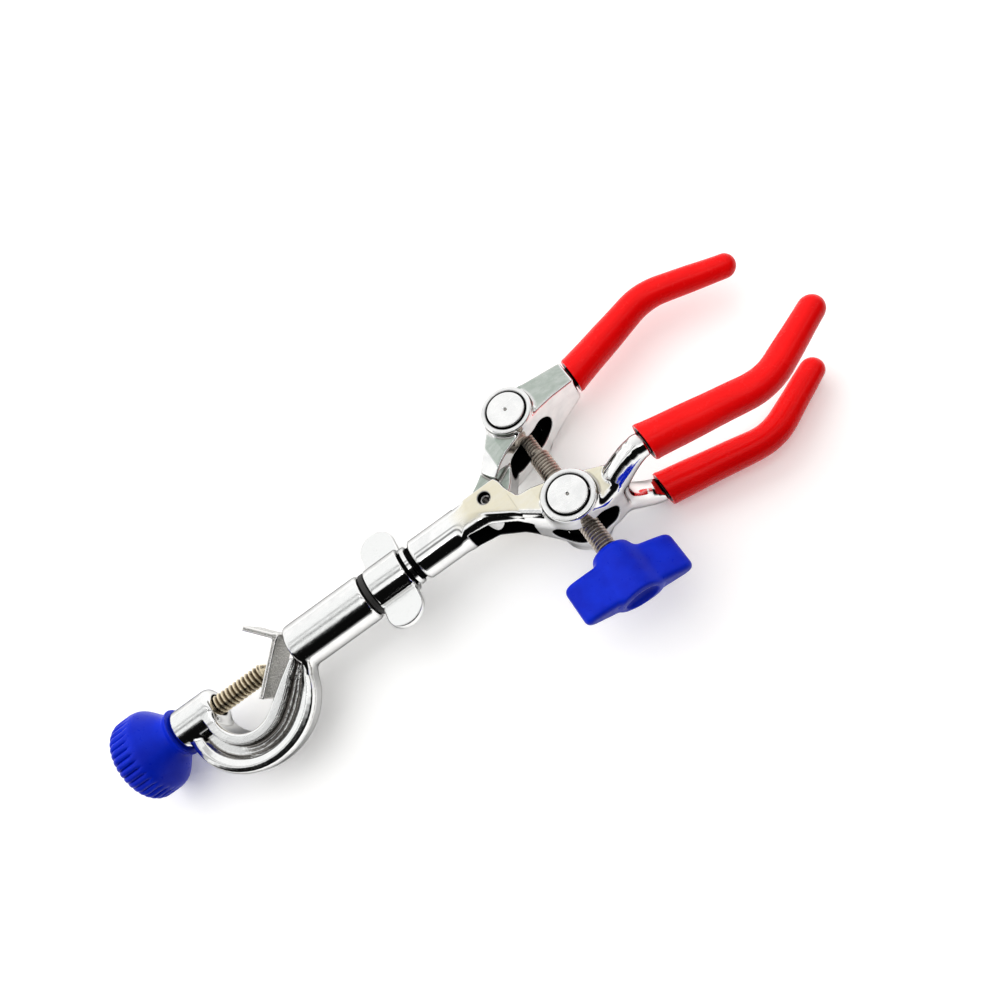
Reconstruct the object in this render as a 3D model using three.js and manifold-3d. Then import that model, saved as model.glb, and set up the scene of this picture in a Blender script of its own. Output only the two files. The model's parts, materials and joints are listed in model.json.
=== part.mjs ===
// Three-finger laboratory clamp on a swivelling boss head. Millimetres, +Z up, lying on a surface.
// The clamp's long axis is X, with its zero at the jaw pivot and the fingers towards +X. The boss head's
// hook lies in the XY plane. The jaws are turned about X, and the whole clamp is pitched a little, so
// that the round knob, the single jaw's boss and the lower finger all touch the surface.
import * as THREE from 'three'
import Module from 'manifold-3d'
import { mergeVertices } from 'three/addons/utils/BufferGeometryUtils.js'

const wasm = await Module()
wasm.setup()

// ---- driving dimensions ----
const GAP = 0.3 // running gap between pieces
const JAW_ROLL = 11.43 // turn of the jaws about X, degrees
const HEAD_ROLL = 3 // turn of the boss head about X the other way, degrees
const PITCH_UP = 1.333 // rise of the long axis towards the fingers, degrees

const SLEEVE_R = 7.2
const SLEEVE = { left: -69, right: -42.8 }
const BORE_R = 4.6
const BORE_END = -66
const LUG = { r: 6.15, left: -109.6, right: -96.5, nose: 2.4 }
const HOOK = { innerC: [-88.4, -3.6], innerR: 9.2, outerC: [-87.8, -6], outerRX: 20.2, outerRY: 18 }
const HOOK_WIDTH = { inner: 11, web: 4, outer: 8.5 }

const SCREW_R = 3
const SCREW = { left: -122, shoulder: -80.7, tip: -78.7, tipR: 1.5 }
const KNOB_R = 12.75
const KNOB = { left: -126.3, rimEnd: -119.4, right: -110 }
const KNOB_RIDGES = 36

const VEE = { apex: [-70.5, 5.2], short: [-77.4, 12.9], long: [-82.8, -7.2], thick: 1.5, width: 11.6 }

const SHAFT_R = 4.3
const THREAD_R = 5
const SHAFT_LEFT = -64.2
const SHAFT_RIGHT = -13.3
const CLIP = { at: -60.2, half: 0.45, grooveHalf: 0.75, grooveDeep: 1 }
const LOCK = { r: 6.8, left: -40.6, right: -29.5, turn: -14 }
const EAR = { reach: [19.2, 17.4], half: 5.65, thick: 2.2 }
const BARREL = { r: 6.3, left: -26.3, right: -8 }

const CROSS_PIN = { at: -18, r: 1, end: 6.1 }

const PIVOT_R = 1.6
const CHEEK = { inner: 4.2, outer: 7.3, nose: 6.2 }
const TONGUE = { half: 3.9, r: 6 }
const TRUNNION_AT = [19, 16.3] // single jaw's trunnion; the fixed jaw's is its mirror image
const TRUNNION = { r: 5.5, half: 12 }
const RING_A = 7.4
const RING_B = 7.6
const BOSS_HALF = 11.6
const SLOT = { length: 18, height: 10 }

const ROD = { thickR: 3, thinR: 2.1, step: 4.7, end: 23.8, knobEnd: -44 }
const WING = { hubR: 5.9, top: -31, bottom: -46.5, turn: 18 }
const BLADE = { top: -34.5, half: 16.3, rootHalf: 3.6, tipHalf: 2.1 }

const FINGER_W = 15.4 // distance of each fixed finger from the jaw plane
const FINGER_A = [[40.3, 19.8], [71, 28], [93.8, 19.8]]
const FINGER_B = [[42.2, -19.1], [74.8, -25.5], [95.6, -15.9]]
const FINGER_BEND = 6 // length of the bend on each side of its corner
const FINGER_R = [5.4, 4.5, 3.8] // vinyl sleeve: root, bend, tip
const CORE_R = [3.1, 2.6, 2]

// ---- materials ----
function paint(color, roughness, metalness) {
  return new THREE.MeshStandardMaterial({ color, roughness, metalness })
}
const CHROME = paint(0xd8dadb, 0.16, 1)
const PLATE = paint(0xa9aaa6, 0.5, 0.9)
const STEEL = paint(0x9b8f7c, 0.35, 1)
const BLUE = paint(0x1430c8, 0.4, 0)
const RED = paint(0xd81414, 0.25, 0)

// ---- geometry helpers ----
const rad = THREE.MathUtils.degToRad
const v2 = (p) => new THREE.Vector2(p[0], p[1])

function solid(geometry) {
  const g = geometry.clone()
  for (const name of Object.keys(g.attributes)) if (name !== 'position') g.deleteAttribute(name)
  const m = mergeVertices(g, 1e-4)
  const mesh = new wasm.Mesh({
    numProp: 3,
    vertProperties: new Float32Array(m.attributes.position.array),
    triVerts: new Uint32Array(m.index.array),
  })
  return new wasm.Manifold(mesh)
}

function geometryOf(manifold) {
  const mesh = manifold.getMesh()
  const g = new THREE.BufferGeometry()
  g.setAttribute('position', new THREE.BufferAttribute(new Float32Array(mesh.vertProperties), 3))
  g.setIndex(new THREE.BufferAttribute(new Uint32Array(mesh.triVerts), 1))
  g.computeVertexNormals()
  return g
}

// A turned solid on the X axis, from a list of [x, radius] that starts and ends at radius 0.
function turnedX(profile, sides = 32) {
  const g = new THREE.LatheGeometry(profile.map(([x, r]) => new THREE.Vector2(r, x)), sides)
  return g.rotateZ(-Math.PI / 2)
}

const rodX = (x0, x1, r, sides = 32) => turnedX([[x0, 0], [x0, r], [x1, r], [x1, 0]], sides)

function rodZ(x, y, z0, z1, r, sides = 32) {
  const g = new THREE.CylinderGeometry(r, r, z1 - z0, sides)
  return g.rotateX(Math.PI / 2).translate(x, y, (z0 + z1) / 2)
}

// A turned solid on a line parallel to Y, from a list of [y, radius].
function turnedY(x, profile) {
  return new THREE.LatheGeometry(profile.map(([y, r]) => new THREE.Vector2(r, y)), 28).translate(x, 0, 0)
}

// A flat outline in the XY plane, thickened along Z.
function slabZ(points, z0, z1) {
  const shape = new THREE.Shape(points.map(v2))
  const g = new THREE.ExtrudeGeometry(shape, { depth: z1 - z0, bevelEnabled: false })
  return g.translate(0, 0, z0)
}

// A flat outline in the XZ plane, thickened along Y.
function slabY(points, y0, y1) {
  const shape = new THREE.Shape(points.map(([x, z]) => new THREE.Vector2(x, -z)))
  const g = new THREE.ExtrudeGeometry(shape, { depth: y1 - y0, bevelEnabled: false })
  return g.rotateX(-Math.PI / 2).translate(0, y0, 0)
}

const join = (...geometries) => geometries.map(solid).reduce((a, b) => a.add(b))

// Points of an arc about c, angles in degrees. A pair for r makes it an ellipse's.
function arc(c, r, from, to, steps) {
  const [rx, ry] = Array.isArray(r) ? r : [r, r]
  return Array.from({ length: steps + 1 }, (_, i) => {
    const a = rad(from + ((to - from) * i) / steps)
    return [c[0] + rx * Math.cos(a), c[1] + ry * Math.sin(a)]
  })
}

// The curve of a bent finger: straight, a soft bend, straight.
function fingerCurve(line, z) {
  const [a, b, c] = line.map((p) => new THREE.Vector3(p[0], p[1], z))
  const curve = new THREE.CurvePath()
  const before = b.clone().lerp(a, FINGER_BEND / b.distanceTo(a))
  const after = b.clone().lerp(c, FINGER_BEND / b.distanceTo(c))
  curve.add(new THREE.LineCurve3(a, before))
  curve.add(new THREE.QuadraticBezierCurve3(before, b, after))
  curve.add(new THREE.LineCurve3(after, c))
  return curve
}

// Rings of points round a curve, with the radius running through three values and a domed tip.
function fingerRings(curve, radii, sides) {
  const stops = [0, 0.28, 0.5, 0.55, 0.6, 0.64, 0.68, 0.85, 1]
  const domeSteps = 3
  const bendAt = 0.59
  const [root, bend, tip] = radii
  const up = new THREE.Vector3(0, 0, 1)
  const radiusAt = (t) => {
    if (t < bendAt) return THREE.MathUtils.lerp(root, bend, t / bendAt)
    return THREE.MathUtils.lerp(bend, tip, (t - bendAt) / (1 - bendAt))
  }
  const ring = (centre, side, r) =>
    Array.from({ length: sides }, (_, i) => {
      const a = (2 * Math.PI * i) / sides
      return centre.clone().addScaledVector(side, r * Math.cos(a)).addScaledVector(up, r * Math.sin(a))
    })
  const rings = stops.map((t) => {
    const side = new THREE.Vector3().crossVectors(up, curve.getTangentAt(t)).normalize()
    return ring(curve.getPointAt(t), side, radiusAt(t))
  })
  const along = curve.getTangentAt(1)
  const side = new THREE.Vector3().crossVectors(up, along).normalize()
  for (let i = 1; i <= domeSteps; i++) {
    const a = (Math.PI / 2) * (i / (domeSteps + 0.5))
    const centre = curve.getPointAt(1).addScaledVector(along, tip * Math.sin(a))
    rings.push(ring(centre, side, tip * Math.cos(a)))
  }
  return rings
}

// A closed skin over a list of rings, capped at both ends.
function skin(rings) {
  const n = rings[0].length
  const last = (rings.length - 1) * n
  const index = []
  for (let start = 0; start < last; start += n) {
    for (let i = 0; i < n; i++) {
      const j = (i + 1) % n
      const [a, b, c, d] = [start + i, start + j, start + n + j, start + n + i]
      index.push(a, b, c, a, c, d)
    }
  }
  for (let i = 1; i < n - 1; i++) index.push(0, i + 1, i, last, last + i, last + i + 1)
  const g = new THREE.BufferGeometry().setFromPoints(rings.flat())
  g.setIndex(index)
  return outward(g)
}

// Turns a closed mesh right side out.
function outward(g) {
  const p = g.attributes.position
  const index = g.index.array
  let volume = 0
  const [a, b, c] = [new THREE.Vector3(), new THREE.Vector3(), new THREE.Vector3()]
  for (let i = 0; i < index.length; i += 3) {
    a.fromBufferAttribute(p, index[i])
    b.fromBufferAttribute(p, index[i + 1])
    c.fromBufferAttribute(p, index[i + 2])
    volume += a.dot(b.cross(c))
  }
  if (volume >= 0) return g
  for (let i = 0; i < index.length; i += 3) {
    const first = index[i]
    index[i] = index[i + 1]
    index[i + 1] = first
  }
  return g
}

// ---- boss head ----
function bossCasting() {
  // The C hook is a strip between two curves, with a wide inner flange, a thin web and a rounded rim.
  // Its inner curve leaves the arc and runs straight up to the sleeve behind the vee plate.
  const steps = 14
  const inner = [[LUG.right - 1.6, 2.6], ...arc(HOOK.innerC, HOOK.innerR, 180, 302, steps - 3), [-75.9, -5.9],
    [-70.4, -2.2]]
  const outer = [[-107.8, -0.5], ...arc(HOOK.outerC, [HOOK.outerRX, HOOK.outerRY], 182, 350, steps - 2),
    [-66.2, -5.5]]
  const between = (u) => inner.map((p, i) => v2(p).lerp(v2(outer[i]), u).toArray())
  const strip = (u0, u1, width) => slabZ([...between(u0), ...between(u1).reverse()], -width / 2, width / 2)
  const nose = arc([LUG.right - LUG.nose, LUG.r - LUG.nose], LUG.nose, 90, 0, 4)
  const hook = join(
    strip(0, 0.3, HOOK_WIDTH.inner),
    strip(0.05, 0.95, HOOK_WIDTH.web),
    strip(0.62, 1, HOOK_WIDTH.outer),
    turnedX([[LUG.left, 0], [LUG.left, LUG.r], ...nose, [LUG.right, 0]]),
    turnedX([[SLEEVE.left, 0], [SLEEVE.left, SLEEVE_R], [SLEEVE.right - 1, SLEEVE_R],
      [SLEEVE.right, SLEEVE_R - 1], [SLEEVE.right, 0]], 40),
  )
  const groove = CLIP.grooveHalf + GAP / 2
  return hook
    .subtract(solid(rodX(LUG.left - 1, LUG.right + 1, SCREW_R + GAP)))
    .subtract(solid(rodX(BORE_END, SLEEVE.right + 1, BORE_R)))
    .subtract(solid(rodX(CLIP.at - groove, CLIP.at + groove, BORE_R + CLIP.grooveDeep)))
}

function veePlate() {
  // Both wings share the apex; the sheet's two sides are offset from the middle line.
  const [apex, a, b] = [v2(VEE.apex), v2(VEE.short), v2(VEE.long)]
  const h = VEE.thick / 2
  const da = a.clone().sub(apex).normalize()
  const db = b.clone().sub(apex).normalize()
  const na = new THREE.Vector2(-da.y, da.x).multiplyScalar(-h)
  const nb = new THREE.Vector2(db.y, -db.x).multiplyScalar(-h)
  const bisector = da.clone().add(db).normalize()
  const reach = h / Math.sin(Math.acos(da.dot(db)) / 2)
  const insideCorner = apex.clone().addScaledVector(bisector, reach)
  const outsideCorner = apex.clone().addScaledVector(bisector, -reach)
  const inside = [a.clone().sub(na), insideCorner, b.clone().sub(nb)]
  const outside = [b.clone().add(nb), outsideCorner, a.clone().add(na)]
  return slabZ([...inside, ...outside].map((p) => [p.x, p.y]), -VEE.width / 2, VEE.width / 2)
}

function bossScrew() {
  const { left, shoulder, tip, tipR } = SCREW
  return turnedX([[left, 0], [left, SCREW_R], [shoulder, SCREW_R], [tip, tipR], [tip, 0]])
}

function bossKnob() {
  const { left, rimEnd, right } = KNOB
  const valleyR = KNOB_R - 0.7
  const lap = 0.2
  const rim = Array.from({ length: KNOB_RIDGES * 2 }, (_, i) => {
    const r = i % 2 ? valleyR : KNOB_R
    const a = (Math.PI * i) / KNOB_RIDGES
    return [r * Math.cos(a), r * Math.sin(a)]
  })
  const bevel = 1.4
  const grip = slabZ(rim, left + bevel, rimEnd).rotateY(Math.PI / 2)
  const end = turnedX([[left, 0], [left, KNOB_R - 2.4], [left + bevel + lap, valleyR - lap / 4],
    [left + bevel + lap, 0]], KNOB_RIDGES)
  // Behind the rim the knob falls in a domed shoulder to a waist, and flares a little at its foot.
  const neck = turnedX([[rimEnd - 1, 0], [rimEnd - 1, 12.4], [rimEnd + 1.2, 12.2], [rimEnd + 3, 11],
    [rimEnd + 5, 9], [rimEnd + 6.6, 7.4], [right - 1.3, 6.8], [right - 0.4, 7.4], [right, 7.2], [right, 0]],
    KNOB_RIDGES)
  return join(neck, grip, end).subtract(solid(rodX(SCREW.left - GAP, right + 1, SCREW_R + GAP)))
}

// ---- swivel ----
function armShaft() {
  const [grooveLeft, grooveRight] = [CLIP.at - CLIP.grooveHalf, CLIP.at + CLIP.grooveHalf]
  const grooveR = SHAFT_R - CLIP.grooveDeep
  return turnedX([[SHAFT_LEFT, 0], [SHAFT_LEFT, SHAFT_R - 0.5], [SHAFT_LEFT + 0.5, SHAFT_R],
    [grooveLeft, SHAFT_R], [grooveLeft, grooveR], [grooveRight, grooveR], [grooveRight, SHAFT_R],
    [SLEEVE.right + GAP, SHAFT_R], [SLEEVE.right + 2 * GAP, THREAD_R], [SHAFT_RIGHT, THREAD_R],
    [SHAFT_RIGHT, 0]])
}

// A ring with a gap, which sits in the shaft's groove and reaches into the bore's.
function snapRing() {
  const r0 = SHAFT_R - CLIP.grooveDeep + 0.2
  const r1 = BORE_R + 0.5
  const outline = [...arc([0, 0], r1, 20, 340, 24), ...arc([0, 0], r0, 340, 20, 24)]
  return slabZ(outline, -CLIP.half, CLIP.half).rotateY(Math.PI / 2).translate(CLIP.at, 0, 0)
}

function washer(x0, x1, r0, r1) {
  const profile = [[x0, r0], [x0, r1], [x1, r1], [x1, r0], [x0, r0]].map(([x, r]) => new THREE.Vector2(r, x))
  return new THREE.LatheGeometry(profile, 32).rotateZ(-Math.PI / 2)
}

const swivelWasher = () => washer(SLEEVE.right + GAP, LOCK.left - GAP, THREAD_R + GAP, 6.9)
const thrustWasher = () => washer(BORE_END + GAP, SHAFT_LEFT - GAP, 1.5, BORE_R - GAP)

function lockRing() {
  const { left, right, r, turn } = LOCK
  const bevel = 0.5
  const ring = turnedX([[left, 0], [left, r - bevel], [left + bevel, r], [right - bevel, r],
    [right, r - bevel], [right, 0]])
  const mid = (left + right) / 2
  const [up, down] = EAR.reach.map((reach) => reach - EAR.half)
  const outline = [...arc([mid, up], EAR.half, 0, 180, 12), ...arc([mid, -down], EAR.half, 180, 360, 12)]
  const ears = slabZ(outline, -EAR.thick / 2, EAR.thick / 2)
  const whole = join(ring, ears).subtract(solid(rodX(left - 1, right + 1, THREAD_R + GAP)))
  return geometryOf(whole).rotateX(rad(turn))
}

// ---- jaws, in their own plane: X along the clamp, Y across the jaws, Z along the pivot pin ----
// A casting outline in plan, cut to a side profile: [x, half height] pairs.
function casting(plan, side) {
  const profile = [...side, ...side.map(([x, h]) => [x, -h]).reverse()]
  return solid(slabZ(plan, -30, 30)).intersect(solid(slabY(profile, -60, 60)))
}

// The metal core of a finger, which starts a little way back inside the casting.
function core(line, z, back) {
  const curve = fingerCurve(line, z)
  const rings = fingerRings(curve, CORE_R, 12)
  const step = curve.getTangentAt(0).multiplyScalar(-back)
  return skin([rings[0].map((p) => p.clone().add(step)), ...rings])
}

// The slot that the rod passes through, square to the rod at rest, and the trunnion's bore.
function openForTrunnion(body, side) {
  const [x, y] = [TRUNNION_AT[0], TRUNNION_AT[1] * side]
  const reach = 16
  const half = SLOT.height / 2
  const straight = SLOT.length / 2 - half
  const outline = [...arc([x + straight, 0], half, -90, 90, 8), ...arc([x - straight, 0], half, 90, 270, 8)]
  return body.subtract(solid(slabY(outline, y - reach, y + reach))).subtract(trunnionBore(side))
}

function trunnionBore(side) {
  const [x, y] = [TRUNNION_AT[0], TRUNNION_AT[1] * side]
  return solid(rodZ(x, y, -20, 20, TRUNNION.r + GAP, 40))
}

function singleJaw() {
  const [x, y] = TRUNNION_AT
  const plan = [[5.5, 3], [9.7, 5.3], [20.5, 9.4], [31.6, 13.6], [41.5, 16.6], [41.5, 22.2], [27, 21.4],
    [16, 22], [12, 17], [6.3, 11.2], [3, 8.6]]
  const side = [[3, 5.2], [8, 8.2], [12, 9.6], [26, 9.6], [33, 7], [38.6, 4.8]]
  const arm = casting(plan, side)
  const tongue = join(
    rodZ(0, 0, -TONGUE.half, TONGUE.half, TONGUE.r),
    slabZ([[-2, 5.5], [3, -4.6], [8, 0.5], [12, 6.5], [8, 13]], -TONGUE.half, TONGUE.half),
  )
  const boss = rodZ(x, y, -BOSS_HALF, BOSS_HALF, RING_A, 40)
  const noseRelief = solid(rodZ(0, 0, -15, 15, CHEEK.nose + GAP, 40))
  return openForTrunnion(arm.add(solid(boss)), 1)
    .subtract(noseRelief)
    .add(tongue)
    .add(solid(core(FINGER_A, 0, 4)))
    .subtract(solid(rodZ(0, 0, -10, 10, PIVOT_R + GAP, 24)))
    .subtract(trunnionBore(1))
}

function fixedJaw() {
  const [x, y] = [TRUNNION_AT[0], -TRUNNION_AT[1]]
  const { left, right, r } = BARREL
  const barrel = turnedX([[left, 0], [left, r - 1.6], [left + 0.6, r - 0.5], [left + 2, r], [right, r],
    [right, 0]], 40)
  const plan = [[-12, 3.6], [4.8, 3.6], ...arc([0, 0], CHEEK.nose, 32, -6, 3), [8, -5.6], [20.5, -9.4],
    [31.6, -13.6], [36, -15.5], [47, -15.5], [47, -22.8], [26, -23.4], [16, -23], [10.6, -18.4],
    [3.4, -10.6], [-3, -6.6], [-12, -5.6]]
  const side = [[-12, 6.1], [-5, CHEEK.outer], [6, CHEEK.outer], [12, 9.4], [29.5, 9.4], [31.5, 12], [35, 17],
    [38, FINGER_W + 3], [40.8, FINGER_W + 3.1]]
  const arm = casting(plan, side)
  const crotch = slabY([[33.6, 0], [34, 3], [36, 8], [39, FINGER_W - 3.4], [60, FINGER_W - 3.1],
    [60, 3.1 - FINGER_W], [39, 3.4 - FINGER_W], [36, -8], [34, -3]], -40, 0)
  const boss = rodZ(x, y, -BOSS_HALF, BOSS_HALF, RING_B, 40)
  // The tongue of the single jaw turns in the slot between the two cheeks, which is open wherever it sweeps.
  const sweep = [[-9.5, -14], [7.2, -14], [7.2, -3.5], [14, -3.5], [14, 30], [-9.5, 30]]
  const tongueSlot = slabZ(sweep, -CHEEK.inner, CHEEK.inner)
  const whole = openForTrunnion(arm.add(solid(boss)), -1).add(solid(barrel)).subtract(solid(tongueSlot))
  const fingers = [1, -1].map((s) => solid(core(FINGER_B, s * FINGER_W, 3)))
  return whole
    .subtract(solid(crotch)).add(fingers[0]).add(fingers[1])
    .subtract(solid(rodX(left - 1, SHAFT_RIGHT + GAP, THREAD_R + GAP)))
    .subtract(solid(rodZ(0, 0, -20, 20, PIVOT_R + GAP, 24)))
    .subtract(solid(rodZ(CROSS_PIN.at, 0, -8, 0, CROSS_PIN.r + GAP, 16)))
}

// A hollow spring pin, split along its length.
function pivotPin() {
  const half = CHEEK.outer - 0.6
  const outline = [...arc([0, 0], PIVOT_R, 12, 348, 20), ...arc([0, 0], PIVOT_R - 0.6, 348, 12, 20)]
  return slabZ(outline, -half, half)
}

const crossPin = () => rodZ(CROSS_PIN.at, 0, -CROSS_PIN.end, -THREAD_R - GAP, CROSS_PIN.r, 16)

function trunnion(side) {
  const [x, y] = [TRUNNION_AT[0], TRUNNION_AT[1] * side]
  const r = (side > 0 ? ROD.thinR : ROD.thickR) + GAP
  const body = rodZ(x, y, -TRUNNION.half, TRUNNION.half, TRUNNION.r, 40)
  return solid(body).subtract(solid(turnedY(x, [[-40, 0], [-40, r], [40, r], [40, 0]])))
}

function adjustingRod() {
  const { thickR, thinR, step, end, knobEnd } = ROD
  const profile = [[knobEnd, 0], [knobEnd, thickR], [step, thickR], [step, thinR], [end, thinR], [end, 0]]
  return turnedY(TRUNNION_AT[0], profile)
}

function butterflyKnob() {
  const x = TRUNNION_AT[0]
  const hub = turnedY(0, [[WING.bottom, 0], [WING.bottom, WING.hubR - 0.6], [WING.bottom + 0.6, WING.hubR],
    [WING.top - 1.4, WING.hubR], [WING.top, WING.hubR - 1.4], [WING.top, 0]])
  // Seen from the end, the wings taper from the hub to rounded tips.
  const { half: w, rootHalf, tipHalf } = BLADE
  const quarter = [[0, rootHalf + 1], [6, rootHalf], [w - tipHalf, tipHalf]]
  const half = [...quarter, [w, 0], ...quarter.map(([u, v]) => [u, -v]).reverse()]
  const outline = [...half, ...half.map(([u, v]) => [-u, -v])]
  const wings = slabY(outline, WING.bottom, BLADE.top)
  const boreEnd = ROD.knobEnd - GAP
  const boreR = ROD.thickR + GAP
  const bore = turnedY(0, [[boreEnd, 0], [boreEnd, boreR], [WING.top + 1, boreR], [WING.top + 1, 0]])
  const knob = geometryOf(join(hub, wings).subtract(solid(bore)))
  return knob.rotateY(rad(WING.turn)).translate(x, 0, 0)
}

// A dipped sleeve is one cup-shaped skin: out along the inside, round the root, and over the outside.
function fingerSleeve(line, z) {
  const curve = fingerCurve(line, z)
  const outer = fingerRings(curve, FINGER_R, 16)
  const inner = fingerRings(curve, CORE_R.map((r) => r + GAP), 16)
  return skin([...inner.reverse(), ...outer])
}

// ---- assembly ----
function node(name, shape, material) {
  const geometry = shape.isBufferGeometry ? shape : geometryOf(shape)
  const mesh = new THREE.Mesh(geometry, material)
  mesh.name = name
  return mesh
}

const head = new THREE.Group()
head.name = 'head'
head.rotation.x = rad(HEAD_ROLL)
head.add(
  node('boss_casting', bossCasting(), CHROME),
  node('vee_plate', veePlate(), PLATE),
  node('boss_screw', bossScrew(), STEEL),
  node('boss_knob', bossKnob(), BLUE),
  node('thrust_washer', thrustWasher(), STEEL),
)

const jaws = new THREE.Group()
jaws.name = 'jaws'
jaws.rotation.x = rad(-JAW_ROLL)
jaws.add(
  node('arm_shaft', armShaft(), STEEL),
  node('snap_ring', snapRing(), STEEL),
  node('swivel_washer', swivelWasher(), STEEL),
  node('lock_ring', lockRing(), CHROME),
  node('fixed_jaw', fixedJaw(), CHROME),
  node('cross_pin', crossPin(), STEEL),
  node('pivot_pin', pivotPin(), STEEL),
  node('single_jaw', singleJaw(), CHROME),
  node('trunnion_single', trunnion(1), CHROME),
  node('trunnion_fixed', trunnion(-1), CHROME),
  node('adjusting_rod', adjustingRod(), STEEL),
  node('butterfly_knob', butterflyKnob(), BLUE),
  node('finger_sleeve_single', fingerSleeve(FINGER_A, 0), RED),
  node('finger_sleeve_upper', fingerSleeve(FINGER_B, FINGER_W), RED),
  node('finger_sleeve_lower', fingerSleeve(FINGER_B, -FINGER_W), RED),
)
const clamp = new THREE.Group()
clamp.add(head, jaws)
clamp.rotation.y = rad(-PITCH_UP)

// The origin is the middle of the bounding box's lowest face.
const group = new THREE.Group()
group.add(clamp)
const box = new THREE.Box3().setFromObject(group, true)
const middle = box.getCenter(new THREE.Vector3())
clamp.position.set(-middle.x, -middle.y, -box.min.z)

export default group
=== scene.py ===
"""The looks of a three-finger laboratory clamp on a swivelling boss head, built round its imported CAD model.

Shapes are in millimetres in one of two frames with their zero at the jaw pivot and X along the clamp: JAWS,
whose Z is the pivot pin, and HEAD, whose XY plane holds the boss head's hook. Castings are sculpted from
distance fields, so that they have the fillets and soft edges of a plated die casting.
"""

import json
import math

import bpy
import numpy as np
from mathutils import Matrix, Vector


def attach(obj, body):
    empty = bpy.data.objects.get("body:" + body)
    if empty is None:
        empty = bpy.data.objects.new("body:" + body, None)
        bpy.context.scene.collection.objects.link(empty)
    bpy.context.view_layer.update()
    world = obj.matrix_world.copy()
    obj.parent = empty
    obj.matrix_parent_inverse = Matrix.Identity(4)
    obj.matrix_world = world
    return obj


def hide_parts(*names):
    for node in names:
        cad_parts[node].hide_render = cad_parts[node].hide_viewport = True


MM = 0.001
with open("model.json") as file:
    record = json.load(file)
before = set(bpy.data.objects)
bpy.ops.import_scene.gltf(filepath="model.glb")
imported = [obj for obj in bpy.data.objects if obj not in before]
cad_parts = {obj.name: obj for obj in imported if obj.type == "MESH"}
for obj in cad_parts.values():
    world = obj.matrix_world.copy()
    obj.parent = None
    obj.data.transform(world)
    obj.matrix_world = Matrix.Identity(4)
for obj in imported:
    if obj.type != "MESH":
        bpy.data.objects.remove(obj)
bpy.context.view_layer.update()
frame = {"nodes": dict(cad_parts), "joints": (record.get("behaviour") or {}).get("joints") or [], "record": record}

# ---- driving dimensions, as in the CAD source ----
GAP = 0.3
SKIN = 0.06  # how far the finest shapes stay inside the CAD ones
SLEEVE = {"r": 7.2, "left": -69, "right": -42.8, "bore": 4.6, "bore_end": -66}
LUG = {"r": 6.15, "left": -109.6, "right": -96.5, "nose": 2.4}
HOOK_INNER = {"at": (-88.4, -3.6), "r": 9.2}
HOOK_OUTER = {"at": (-87.8, -6.0), "r": (20.2, 18.0)}
HOOK_HALF = 4.25
VEE = {"apex": (-70.5, 5.2), "short": (-77.4, 12.9), "long": (-82.8, -7.2), "thick": 1.5, "half": 5.8}
SCREW = {"r": 3.0, "pitch": 1.4, "left": -122, "shoulder": -80.7, "tip": -78.7, "tip_r": 1.5}
KNOB = {"r": 12.75, "left": -126.3, "rim_end": -119.4, "right": -110, "ridges": 36}
SHAFT = {"r": 4.3, "thread": 5.0, "left": -64.2, "right": -13.3, "clip_at": -60.2, "clip_half": 0.75}
LOCK = {"r": 6.8, "left": -40.6, "right": -29.5, "up": 19.2, "down": 17.4, "ear": 5.65, "turn": -14}
BARREL = {"r": 6.3, "left": -26.3, "right": -8}
PIN_R = 1.6
CHEEK = {"inner": 4.2, "outer": 7.3, "nose": 6.2}
TONGUE = {"half": 3.9, "r": 6.0}
TRUNNION_AT = (19.0, 16.3)
TRUNNION = {"r": 5.5, "half": 12.0}
RING_A, RING_B, BOSS_HALF = 7.4, 7.6, 11.6
SLOT = {"length": 18.0, "height": 10.0}
ROD = {"thick": 3.0, "thin": 2.1, "step": 4.7, "end": 23.8, "knob_end": -44, "pitch": 1.0}
WING = {"hub": 5.9, "top": -31, "bottom": -46.5, "wing_top": -34.5, "half": 16.3, "root": 3.6, "tip": 2.1,
        "turn": 18}
FINGER_W = 15.4
FINGER_A = [(40.3, 19.8), (71, 28), (93.8, 19.8)]
FINGER_B = [(42.2, -19.1), (74.8, -25.5), (95.6, -15.9)]
FINGER_BEND = 6.0
FINGER_R = (5.4, 4.5, 3.8)
CORE_R = (3.1, 2.6, 2.0)

# ---- the two frames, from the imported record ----
joints = {j["name"]: j for j in frame["joints"]}
pivot = Vector(joints["jaw_hinge"]["pos_m"])
along = Vector(joints["arm_swivel"]["axis"]).normalized()


def frame_from(across, up):
    """The frame at the jaw pivot with X along the clamp and these Y and Z."""
    m = Matrix((along, across, up)).transposed().to_4x4()
    m.translation = pivot
    return m


jaw_up = Vector(joints["jaw_hinge"]["axis"]).normalized()
JAWS = frame_from(jaw_up.cross(along), jaw_up)
wing_face = Vector(next(m["axis"] for m in frame["record"]["mounts"] if m["name"] == "vee_short_wing"))
head_across = -(wing_face - wing_face.dot(along) * along).normalized()
HEAD = frame_from(head_across, along.cross(head_across))


# ---- outlines ----
def arc(at, r, start, end, steps):
    """Points of an arc, or of an ellipse's where r is a pair, from one angle to another in degrees."""
    rx, ry = r if isinstance(r, tuple) else (r, r)
    turns = [math.radians(start + (end - start) * i / steps) for i in range(steps + 1)]
    return [(at[0] + rx * math.cos(a), at[1] + ry * math.sin(a)) for a in turns]


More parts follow.
